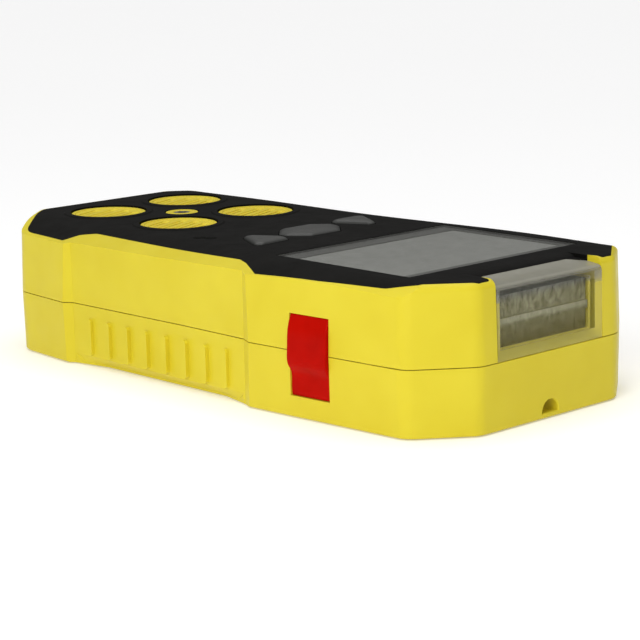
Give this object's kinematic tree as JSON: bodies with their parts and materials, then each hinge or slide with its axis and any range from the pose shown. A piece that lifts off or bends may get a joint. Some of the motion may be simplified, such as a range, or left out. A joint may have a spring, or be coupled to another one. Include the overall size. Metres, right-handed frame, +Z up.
{
  "type": "portable gas detector",
  "caption": "Hand-held gas detector with a two-part case, slotted sensor grilles, arrow and enter keys, display, clear end alarm lens and side alarm windows.",
  "frame": {"origin": "middle of the underside of the case, lying on its back", "axes": "+X along the case from the gas sensors to the alarm lens, +Y across the case, +Z up out of the display"},
  "size_m": [0.15, 0.0736, 0.0321],
  "materials": {
    "case_yellow": "satin moulded plastic with a fine texture",
    "cover_black": "soft-touch black, fine texture",
    "seal_rubber": "matt black rubber",
    "grille_yellow": "satin moulded plastic",
    "screw_steel": "plated steel",
    "filter_membrane": "white porous membrane",
    "cell_plastic": "moulded white plastic",
    "cell_metal": "drawn steel can",
    "circuit_board": "green solder mask",
    "flex_circuit": "amber film",
    "switch_plastic": "black moulded plastic",
    "key_grey": "matt dark grey rubber",
    "display_clear": "polished clear sheet",
    "display_border": "printed dark border",
    "lcd_grey": "grey reflective display",
    "light_guide": "milky acrylic",
    "lens_clear": "thick clear moulding",
    "diffuser_frosted": "frosted translucent",
    "led_package": "yellow phosphor lamp",
    "lens_red": "tinted glossy lens",
    "motor_metal": "drawn can",
    "weight_metal": "sintered tungsten",
    "battery_wrap": "shrink film"
  },
  "bodies": {
    "case": {"lower_case": "case_yellow", "upper_case": "case_yellow", "top_cover": "cover_black", "case_seal": "seal_rubber", "sensor_guard": "grille_yellow", "guard_screw": "screw_steel", "dust_filters": "filter_membrane", "sensor_gasket": "seal_rubber", "oxygen_cell": "cell_plastic", "carbon_monoxide_cell": "cell_plastic", "hydrogen_sulfide_cell": "cell_plastic", "combustible_cell": "cell_metal", "sensor_board": "circuit_board", "sensor_flex": "flex_circuit", "main_board": "circuit_board", "board_screws": "screw_steel", "key_switches": "switch_plastic", "display_window": "display_clear", "display_mask": "display_border", "lcd_panel": "lcd_grey", "backlight": "light_guide", "display_flex": "flex_circuit", "alarm_lens": "lens_clear", "alarm_diffuser": "diffuser_frosted", "alarm_board": "circuit_board", "alarm_leds": "led_package", "side_lens_right": "lens_red", "side_lens_left": "lens_red", "side_leds": "led_package", "buzzer": "switch_plastic", "vibration_motor": "motor_metal", "battery_pack": "battery_wrap", "battery_pad": "seal_rubber", "case_screws": "screw_steel"},
    "up_key": {"up_button": "key_grey"},
    "enter_key": {"enter_button": "key_grey"},
    "down_key": {"down_button": "key_grey"},
    "motor_rotor": {"motor_weight": "weight_metal"}
  },
  "joints": [
    {"name": "up_press", "type": "slide", "parent": "case", "child": "up_key", "axis": [0, 0, -1], "range_m": [0, 0.0005], "stiffness_N_per_m": 2000, "springref_m": -0.0003},
    {"name": "enter_press", "type": "slide", "parent": "case", "child": "enter_key", "axis": [0, 0, -1], "range_m": [0, 0.0005], "stiffness_N_per_m": 2000, "springref_m": -0.0003},
    {"name": "down_press", "type": "slide", "parent": "case", "child": "down_key", "axis": [0, 0, -1], "range_m": [0, 0.0005], "stiffness_N_per_m": 2000, "springref_m": -0.0003},
    {"name": "motor_spin", "type": "hinge", "parent": "case", "child": "motor_rotor", "pos_m": [0.058, 0, 0.0065], "axis": [0, 1, 0], "continuous": true}
  ]
}
